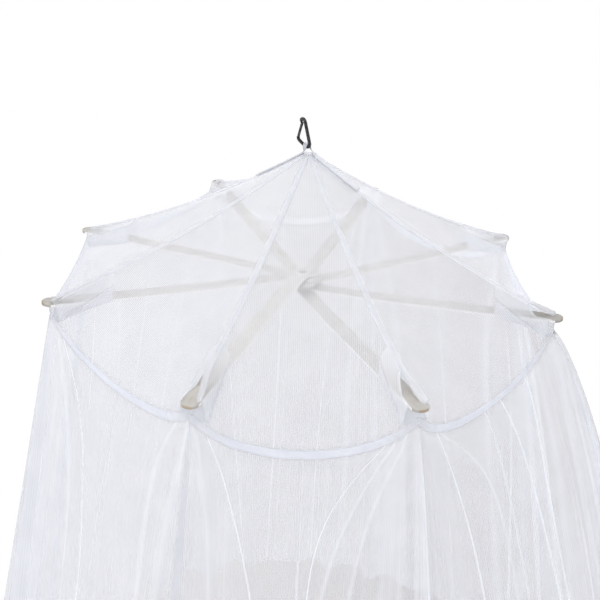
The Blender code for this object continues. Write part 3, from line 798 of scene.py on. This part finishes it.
TAPE_SHIFT = 0.0135          # seam tape's end beside the slat
TAPE_SHIFT_FROM = 0.80
TAPE_FALL = 0.0105
# To which side of its slat the end of each seam's tape is drawn, seen from the middle outwards.
TAPE_ASIDE = (1.0, 0.4, -0.3, 0.0, 0.0, 0.0, 0.6, 1.0)
SEAM_TAPE_START = 0.020
SEAM_TAPE_END = 0.997
TAPE_WAVER = 0.0004
SEAM_TAPE_COLUMNS = 6
SEAM_TAPE_ROWS = 90


def make_seam_tape(index):
    def point(side, row):
        slope = mix(SEAM_TAPE_START, SEAM_TAPE_END, row)
        widest = slope * CLOTH_RADIUS * TAPE_CROWDING - GAP
        offset = (2 * side - 1) * min(SEAM_TAPE_WIDTH / 2, widest)
        late = smooth_step((slope - TAPE_SHIFT_FROM) / (1 - TAPE_SHIFT_FROM)) ** 2
        place = beside_seam(index, offset, slope)
        seam = seam_point(index, slope)
        crown = min(seam.z - place.z, SEAM_TAPE_CROWN)
        waver = TAPE_WAVER * ripple(slope * 40.0, side * 2.0, 7.0 + index)
        aside = heading(corner_azimuth(index) + pi / 2) * TAPE_ASIDE[index] * TAPE_SHIFT * late
        fall = TAPE_FALL * late * (side if TAPE_ASIDE[index] > 0 else 1 - side) * abs(TAPE_ASIDE[index])
        height = seam.z - crown + SEAM_TAPE_LIFT + waver - fall
        return Vector((place.x, place.y, height)) + aside

    cloth_piece(
        "seam_binding_%d" % (index + 1), (SEAM_TAPE_COLUMNS, SEAM_TAPE_ROWS), point,
        (SEAM_TAPE_WIDTH, CLOTH_RADIUS * SEAM_STRETCH), TAPE_SHEET, SEAM_TAPE,
        ["seam_tape_%d" % (index + 1)],
    )


FAR_SIDE = 3                 # its tape is drawn paler as painted light, for light that comes through it from behind
PUCKER = 0.0007
PUCKER_TURNS = 150.0
EDGE_TAPE_SLACK = 1.08       # flat length over the straight line between two corners
EDGE_TAPE_COLUMNS = 120
EDGE_TAPE_ROWS = 5


def edge_point(index, side, below):
    return roof_point(index, side, 1.0) - Vector((0, 0, below))


def make_edge_tape(index):
    def point(side, row):
        inset = EDGE_TAPE_TRIM / side_width(index, 1.0)
        place = mix(inset, 1 - inset, 0.5 - 0.5 * cos(pi * side))
        spot = edge_point(index, place, GAP + EDGE_TAPE_WIDTH * row)
        outward = heading(atan2(spot.y, spot.x))
        phase = place * PUCKER_TURNS + 2.0 * ripple(place * 9.0, row, index)
        return spot + outward * (PUCKER * sin(phase) * sin(pi * row))

    def marks(side, _):
        place = 0.5 - 0.5 * cos(pi * side)
        return {"border": min(place, 1 - place) * side_width(index, 1.0)}

    flat = (side_width(index, 1.0) * EDGE_TAPE_SLACK, EDGE_TAPE_WIDTH)
    cloth_piece(
        "edge_binding_%d" % (index + 1), (EDGE_TAPE_COLUMNS, EDGE_TAPE_ROWS), point, flat, TAPE_SHEET,
        FAR_TAPE_PAINTED_LIT if index == FAR_SIDE else TAPE, ["edge_tape_%d" % (index + 1)],
        marks=marks,
    )


# The pocket's section from its middle to its rim: share of the width, share of the height.
POCKET_SECTION = ((0.0, 0.0), (0.35, 0.0), (0.7, 0.02), (0.9, 0.08), (1.0, 0.25), (1.0, 0.6), (1.0, 1.0))
POCKET_ROWS = 30
POCKET_REFINE = 3
POCKET_SAG = 0.0015
POCKET_GIRTH = 0.115         # flat width, from rim to rim


def make_pocket(index):
    last = len(POCKET_SECTION) - 1

    def point(side, row):
        distance = mix(POCKET_LENGTH, POCKET_INSET, row)
        slope = 1 - distance / CLOTH_RADIUS
        across = (2 * side - 1) * last
        step = abs(across)
        low = min(int(step), last - 1)
        width_share = mix(POCKET_SECTION[low][0], POCKET_SECTION[low + 1][0], step - low)
        height_share = mix(POCKET_SECTION[low][1], POCKET_SECTION[low + 1][1], step - low)
        rim = notch_half(slope) - POCKET_RIM_GAP
        offset = mix(POCKET_FLOOR_HALF * width_share, rim, height_share)
        direction = -1 if across < 0 else 1
        place = beside_seam(index, direction * offset, slope)
        radius = hypot(place.x, place.y)
        mouth = slat_height(index, radius) - SLAT_THICKNESS / 2 - POCKET_CLEARANCE
        floor = mix(mouth, tip_height(index) - POCKET_DEPTH_OUTER, row)
        sag = POCKET_SAG * ripple(row * 5.0, across, 2.0 * index) * sin(pi * row)
        return Vector((place.x, place.y, mix(floor, place.z, height_share) - abs(sag)))

    cloth_piece(
        "slat_pocket_%d" % (index + 1), (2 * last * POCKET_REFINE, POCKET_ROWS), point,
        (POCKET_GIRTH, POCKET_LENGTH), POCKET_SHEET, POCKET, ["corner_pocket_%d" % (index + 1)],
    )


# ---------------------------------------------------------------- skirt
SKIRT_COLUMNS = 132
SKIRT_ROWS = 72
ROW_CROWDING = 1.25          # rows crowd towards the top
FOLDS_FULL = 0.22            # share of the height in which the finer folds grow
FOLDS_AT_TOP = 0.55
CREASES_FULL = 0.05
HEM_BAND = 0.012
FINE_FOLD = 0.0065           # depth of the finer folds at the hem
RIDGE = 0.0035               # height of a crease
SKIRT_FULLNESS = 1.6         # flat width of a panel over the length of edge it hangs from
SKIRT_LENGTH = 1.95
RIDGE_WIDTH = 0.010
# Creases that run out of a corner and then hang: panel, mark, place at the top and far down (share of the
# side, 0 is under the corner), share of the height in which they turn, half width.
CREASES = (
    (1, "soft_1", 0.000, 0.120, 0.120, 0.0110),
    (1, "soft_2", 0.080, 0.220, 0.040, 0.0080),
    (1, "soft_3", -0.020, -0.160, 0.100, 0.0070),
    (1, "line_1", -0.075, -0.400, 0.120, 0.0017),
    (2, "soft_1", 0.050, 0.240, 0.150, 0.0140),
    (2, "soft_2", -0.061, -0.341, 0.120, 0.0090),
    (2, "line_1", -0.102, -0.470, 0.090, 0.0017),
    (3, "soft_1", -0.040, -0.250, 0.150, 0.0120),
    (3, "soft_2", 0.100, 0.380, 0.120, 0.0100),
    (3, "line_1", 0.060, 0.220, 0.200, 0.0018),
    (4, "line_1", 0.000, 0.450, 0.750, 0.0022),
    (4, "line_2", 0.431, 0.460, 0.150, 0.0024),
    (4, "soft_1", -0.050, -0.300, 0.150, 0.0120),
    (5, "soft_1", 0.040, 0.250, 0.150, 0.0140),
    (5, "soft_2", -0.020, -0.120, 0.150, 0.0100),
    (5, "line_1", -0.080, -0.300, 0.200, 0.0018),
    (6, "soft_1", 0.020, 0.280, 0.150, 0.0120),
    (6, "soft_2", -0.040, -0.260, 0.120, 0.0100),
    (6, "line_1", 0.150, 0.420, 0.150, 0.0017),
    (7, "line_1", 0.385, 0.355, 0.100, 0.0023),
    (7, "line_2", 0.205, 0.330, 0.080, 0.0021),
    (7, "soft_1", -0.050, -0.280, 0.150, 0.0110),
    (7, "soft_2", 0.030, 0.120, 0.120, 0.0100),
    (8, "soft_1", 0.090, 0.450, 0.075, 0.0065),
    (8, "soft_2", 0.045, 0.345, 0.088, 0.0060),
    (8, "soft_3", -0.160, -0.440, 0.033, 0.0060),
    (8, "line_1", -0.140, -0.320, 0.100, 0.0022),
    (8, "line_2", 0.133, 0.470, 0.045, 0.0014),
)


def hem_reach(index, side):
    return mix(CORNERS[index % SIDES][3], CORNERS[(index + 1) % SIDES][3], smooth_step(side))


def fold_wave(index, across):
    count, phase, _, _ = FOLDS[index]
    main = sin(2 * pi * (count * across / 2 + phase))
    small = sin(2 * pi * (count * SMALL_FOLD_COUNT * across / 2 + SMALL_FOLD_PHASE * phase))
    return (main + SMALL_FOLD * small) * (1 - across * across)


def early_at(index, span, place, early):
    other = span if index != span else (span + 1) % SIDES
    nearness = place if index == span else 1 - place
    return mix(early, FOLDS[other][3], nearness)


# Pleats to half a panel, how much they drift, turns from panel to panel, share of the depth.
PLEATS = ((9.0, 0.6, 0.37, 0.55), (17.0, 1.0, 0.71, 0.30))
PLEAT_DRIFT = 0.35
LOOSE_SHARE = 0.8


def fine_folds(index, across, down):
    """Narrow uneven pleats that fan out of the corner and drift down the cloth."""
    drift = PLEAT_DRIFT * ripple(across * 2.0, down * 1.6, 11.0 + index)
    folds = LOOSE_SHARE * ripple(across * 7.0, down * 2.5, 20.0 + index)
    for turns, sway, shift, share in PLEATS:
        folds += share * sin(2 * pi * (turns * across + sway * drift + shift * index))
    return folds * (1 - across ** 4)


def side_share(across, down):
    """How far along the side a skirt point lies from its corner, 0 to 0.5; folds crowd to the corner."""
    return abs(across) ** (1 + TOP_CROWDING * (1 - down) ** 2) / 2


def skirt_frame(index, across, down):
    """The place of a skirt point before its finer folds, and the direction away from the middle there."""
    _, _, depth, early = FOLDS[index]
    share = min(side_share(across, down), 0.5 - SKIRT_SEAM_GAP / side_width(index, 1.0))
    span, place = (index - 1) % SIDES, 1 - share
    if across >= 0:
        span, place = index, share
    top = edge_point(span, place, EDGE_TAPE_WIDTH + SKIRT_TUCK)
    turn = (corner_azimuth(span + 1) - corner_azimuth(span) + pi) % (2 * pi) - pi
    outward = heading(corner_azimuth(span) + turn * place)
    swing = down ** early_at(index, span, place, early)
    reach = mix(hypot(top.x, top.y), hem_reach(span, place), swing)
    reach += depth * down ** FOLD_START * fold_wave(index, across)
    aim = heading(atan2(top.y, top.x)).lerp(outward, down).normalized()
    return aim, reach, mix(top.z, HEM_HEIGHT, down)


def crease_distances(index, across, down, metres):
    """How far a point lies from each of the panel's creases, in metres, with the crease's half width."""
    place = side_share(across, down) * (1 if across >= 0 else -1)
    found = {}
    for panel, mark, top, far, turn, half in CREASES:
        if panel == index + 1:
            found[mark] = ((place - mix(far, top, exp(-down / turn))) * metres, half)
    return found


def make_skirt(index):
    width = 0.5 * (side_width(index - 1, 1.0) + side_width(index, 1.0)) * SKIRT_FULLNESS
    flat = (width, SKIRT_LENGTH)

    def point(side, row):
        across = 2 * side - 1
        down = row ** ROW_CROWDING
        aim, reach, height = skirt_frame(index, across, down)
        grown = smooth_step(down / FOLDS_FULL) * mix(FOLDS_AT_TOP, 1.0, down)
        reach += FINE_FOLD * grown * fine_folds(index, across, down)
        metres = width * mix(1 / SKIRT_FULLNESS, 1.0, down)
        for distance, _ in crease_distances(index, across, down, metres).values():
            reach += RIDGE * smooth_step(down / CREASES_FULL) * bump(distance, RIDGE_WIDTH)
        return aim * reach + Vector((0, 0, height))

    def marks(side, row):
        across, down = 2 * side - 1, row ** ROW_CROWDING
        metres = width * mix(1 / SKIRT_FULLNESS, 1.0, down)
        creases = crease_distances(index, across, down, metres)
        found = {mark: distance / half for mark, (distance, half) in creases.items()}
        found["seam"] = (0.5 - side_share(across, down)) * metres
        found["hem"] = max(0.0, (1 - down) * SKIRT_LENGTH - HEM_BAND)
        return found

    item = cloth_piece(
        "net_skirt_%d" % (index + 1), (SKIRT_COLUMNS, SKIRT_ROWS), point, flat, NET_SHEET, NETTING,
        ["skirt_panel_%d" % (index + 1)], marks=marks,
    )
    fold_density(item.data)


# ---------------------------------------------------------------- slats
SLAT_STEPS = 40
END_TURNS = (0.0, 15.0, 30.0, 45.0, 58.0, 69.0, 78.0, 85.0)
SHARP_ANGLE = 50.0


def make_slat(index):
    """A slat with round ends, softened edges and grain along it."""
    name = CORNERS[index][0]
    along = heading(corner_azimuth(index))
    across = Vector((-along.y, along.x, 0.0))
    half = SLAT_WIDTH / 2
    start, end = -SLAT_TAIL + half, TIP_RADIUS - half
    turns = [radians(a) for a in END_TURNS]
    stations = [(start - half * sin(a), half * cos(a)) for a in reversed(turns)]
    stations += [(mix(start, end, i / SLAT_STEPS), half) for i in range(1, SLAT_STEPS)]
    stations += [(end + half * sin(a), half * cos(a)) for a in turns]
    last = len(stations) - 1
    bm = bmesh.new()
    bmesh.ops.create_grid(bm, x_segments=4, y_segments=last, size=1.0)
    uv = bm.loops.layers.uv.new("flat")
    pale = bm.verts.layers.float.new("pale")
    for face in bm.faces:
        for loop in face.loops:
            radius, wide = stations[round((loop.vert.co.y + 1) / 2 * last)]
            loop[uv].uv = (loop.vert.co.x * wide + index, radius)
    for vert in bm.verts:
        radius, wide = stations[round((vert.co.y + 1) / 2 * last)]
        # Each slat's own tone, drawn darker towards its tip; at the right front that darkening is painted
        # shade.
        toward_tip = smooth_step((radius - TIP_TONE_FROM) / (TIP_TONE_FULL - TIP_TONE_FROM))
        vert[pale] = mix(SLAT_TONES[index], TIP_SHADE_TONES[index], toward_tip)
        height = slat_height(index, radius)
        vert.co = along * radius + across * wide * vert.co.x + Vector((0, 0, height)) + PLAN_CENTRE
    mesh = bpy.data.meshes.new("wood_" + name)
    bm.to_mesh(mesh)
    bm.free()
    item = bpy.data.objects.new("wood_" + name, mesh)
    bpy.context.scene.collection.objects.link(item)
    thicken(item, SLAT_THICKNESS)
    soften = item.modifiers.new("edges", "BEVEL")
    soften.width = SLAT_EDGE
    soften.segments = 2
    soften.angle_limit = radians(SHARP_ANGLE)
    finish_piece(item, WOOD, ["slat_" + name])


# ---------------------------------------------------------------- hub and carabiner
METAL_NODES = (
    (STEEL, ("hub_bolt", "hub_washer_top", "hub_washer_bottom", "hub_nut", "gate_pin")),
    (BLACK, ("carabiner_body", "carabiner_gate")),
)
for metal, nodes in METAL_NODES:
    for node in nodes:
        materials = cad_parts[node].data.materials
        materials.clear()
        materials.append(metal)


# ---------------------------------------------------------------- strap
STRAP_COLUMNS = 8
STRAP_REFINE = 5
STRAP_FLAT = (0.020, 0.285)
STRAP_SHEET = 0.0012


def strap_station(place):
    """The strap's table read between its rows."""
    last = len(STRAP_STATIONS) - 1
    low = min(int(abs(place)), last - 1)
    share = abs(place) - low
    first, second = STRAP_STATIONS[low], STRAP_STATIONS[low + 1]
    return first, second, share


def strap_row(row, place, side):
    left, right = STRAP_SEAMS
    distance, above_rod, half, share = row
    index, turn = right, CARABINER_AZIMUTH - pi / 2 - corner_azimuth(right)
    if place < 0:
        index, turn = left, CARABINER_AZIMUTH + pi / 2 - corner_azimuth(left)
    outward = corner_azimuth(index) + share * turn
    height = seam_point(index, distance / CLOTH_RADIUS).z + STRAP_LIFT
    if above_rod is not None:
        height = APEX_HEIGHT + ROD_ABOVE_APEX + above_rod
    across = heading(outward + pi / 2) * (1 if place >= 0 else -1)
    middle = heading(outward) * distance + ROD_SHIFT * share
    return middle + across * half * (2 * side - 1) + Vector((0, 0, height))


def make_strap():
    last = len(STRAP_STATIONS) - 1

    def point(side, length):
        place = (2 * length - 1) * last
        first, second, share = strap_station(place)
        return strap_row(first, place, side).lerp(strap_row(second, place, side), share)

    cloth_piece(
        "hanging_webbing", (STRAP_COLUMNS, 2 * last * STRAP_REFINE), point, STRAP_FLAT, STRAP_SHEET, WEBBING,
        ["webbing_strap"],
    )


# ---------------------------------------------------------------- assembly
for corner in range(SIDES):
    make_slat(corner)
    make_gore(corner)
    make_seam_tape(corner)
    make_edge_tape(corner)
    make_pocket(corner)
    make_skirt(corner)
make_strap()


# ---------------------------------------------------------------- stage, lights and camera
FLOOR_DROP = 0.004
FLOOR_HALF = 40.0
FLOOR_TONE = (0.82, 0.82, 0.84, 1.0)
BACKDROP = (1.0, 1.0, 1.0, 1.0)
# The backdrop as it shows through netting, at the left and at the right: painted shade of the netting, grey
# and darker to the right.
SHADE_THROUGH_NET_LEFT = (0.90, 0.905, 0.93, 1.0)
SHADE_THROUGH_NET_RIGHT = (0.37, 0.34, 0.325, 1.0)
SEEN_REACH = 2.2
AMBIENT = 0.84
SKY = (0.962, 0.97, 0.99, 1.0)


def backdrop_colour(tree, place):
    """Plain white, and pale grey through the netting as painted shade, darker to the right."""
    split = tree.nodes.new("ShaderNodeSeparateXYZ")
    tree.links.new(place, split.inputs["Vector"])
    across = map_range(tree, split.outputs["X"], -SEEN_REACH, SEEN_REACH)
    shade = mix_colours(tree, across, SHADE_THROUGH_NET_LEFT, SHADE_THROUGH_NET_RIGHT)
    layers = tree.nodes.new("ShaderNodeLightPath").outputs["Transparent Depth"]
    # Behind netting the backdrop is drawn grey: painted shade.
    return mix_colours(tree, math_node(tree, "GREATER_THAN", layers, 0.5), BACKDROP, shade)


def shown_to_camera(tree, lit, shown):
    """Lights the scene with one surface and shows the other."""
    both = tree.nodes.new("ShaderNodeMixShader")
    tree.links.new(tree.nodes.new("ShaderNodeLightPath").outputs["Is Camera Ray"], both.inputs["Fac"])
    tree.links.new(lit, both.inputs[1])
    tree.links.new(shown, both.inputs[2])
    return both.outputs["Shader"]


def make_floor():
    mesh = bpy.data.meshes.new("floor")
    bm = bmesh.new()
    bmesh.ops.create_grid(bm, x_segments=1, y_segments=1, size=FLOOR_HALF)
    bm.to_mesh(mesh)
    bm.free()
    floor = bpy.data.objects.new("floor", mesh)
    floor.location = (0.0, 0.0, CAD_BOX[0][2] - FLOOR_DROP)
    bpy.context.scene.collection.objects.link(floor)
    material, tree, shader = new_material("pale_floor")
    shader.inputs["Base Color"].default_value = FLOOR_TONE
    shader.inputs["Roughness"].default_value = 0.9
    shown = tree.nodes.new("ShaderNodeEmission")
    place = tree.nodes.new("ShaderNodeTexCoord").outputs["Object"]
    tree.links.new(backdrop_colour(tree, place), shown.inputs["Color"])
    surface = shown_to_camera(tree, shader.outputs["BSDF"], shown.outputs["Emission"])
    tree.links.new(surface, tree.nodes["Material Output"].inputs["Surface"])
    mesh.materials.append(material)


def make_world():
    world = bpy.data.worlds.new("studio")
    bpy.context.scene.world = world
    world.use_nodes = True
    tree = world.node_tree
    lit = tree.nodes["Background"]
    lit.inputs["Color"].default_value = SKY
    lit.inputs["Strength"].default_value = AMBIENT
    shown = tree.nodes.new("ShaderNodeBackground")
    place = tree.nodes.new("ShaderNodeTexCoord").outputs["Generated"]
    tree.links.new(backdrop_colour(tree, place), shown.inputs["Color"])
    surface = shown_to_camera(tree, lit.outputs["Background"], shown.outputs["Background"])
    tree.links.new(surface, tree.nodes["World Output"].inputs["Surface"])


# name, place, point it is aimed at, side of its square (metres), power (watts)
LIGHTS = (
    ("overhead", (-0.6, 1.8, 2.6), (0.0, 0.0, -0.6), 3.0, 58.0),
    ("right_side", (3.2, 0.6, 0.6), (0.0, 0.0, -0.9), 2.4, 36.0),
    ("front_fill", (-2.0, -3.4, 0.9), (0.0, 0.0, -0.8), 2.4, 46.0),
)
MOST_LAYERS = 96             # of netting that a ray may pass


def area_light(name, place, target, size, power):
    light = bpy.data.lights.new(name, "AREA")
    light.shape = "SQUARE"
    light.size = size
    light.energy = power
    item = bpy.data.objects.new(name, light)
    item.location = place
    item.rotation_euler = (Vector(target) - Vector(place)).to_track_quat("-Z", "Y").to_euler()
    bpy.context.scene.collection.objects.link(item)


CAMERA_PLACE = Vector((-0.11261, -1.95234, 0.95490))     # from the plan centre
CAMERA_YAW = radians(3.26)
CAMERA_PITCH = radians(27.986)
CAMERA_ROLL = radians(3.028)
FOCAL_PIXELS = 885.92
PHOTO_PIXELS = 600.0
SENSOR_WIDTH = 36.0


def make_camera():
    data = bpy.data.cameras.new("photo_view")
    data.sensor_width = SENSOR_WIDTH
    data.lens = FOCAL_PIXELS / PHOTO_PIXELS * data.sensor_width
    ahead = Vector((
        sin(CAMERA_YAW) * cos(CAMERA_PITCH), cos(CAMERA_YAW) * cos(CAMERA_PITCH), -sin(CAMERA_PITCH)
    ))
    level = Vector((cos(CAMERA_YAW), -sin(CAMERA_YAW), 0.0))
    upright = level.cross(ahead)
    right = level * cos(CAMERA_ROLL) + upright * sin(CAMERA_ROLL)
    top = upright * cos(CAMERA_ROLL) - level * sin(CAMERA_ROLL)
    camera = bpy.data.objects.new("photo_view", data)
    camera.matrix_world = Matrix.Translation(CAMERA_PLACE + PLAN_CENTRE) @ Matrix(
        (right, top, -ahead)
    ).transposed().to_4x4()
    bpy.context.scene.collection.objects.link(camera)
    bpy.context.scene.camera = camera


make_floor()
make_world()
for light in LIGHTS:
    area_light(*light)
make_camera()
bpy.context.scene.view_settings.view_transform = "Standard"
bpy.context.scene.cycles.transparent_max_bounces = MOST_LAYERS
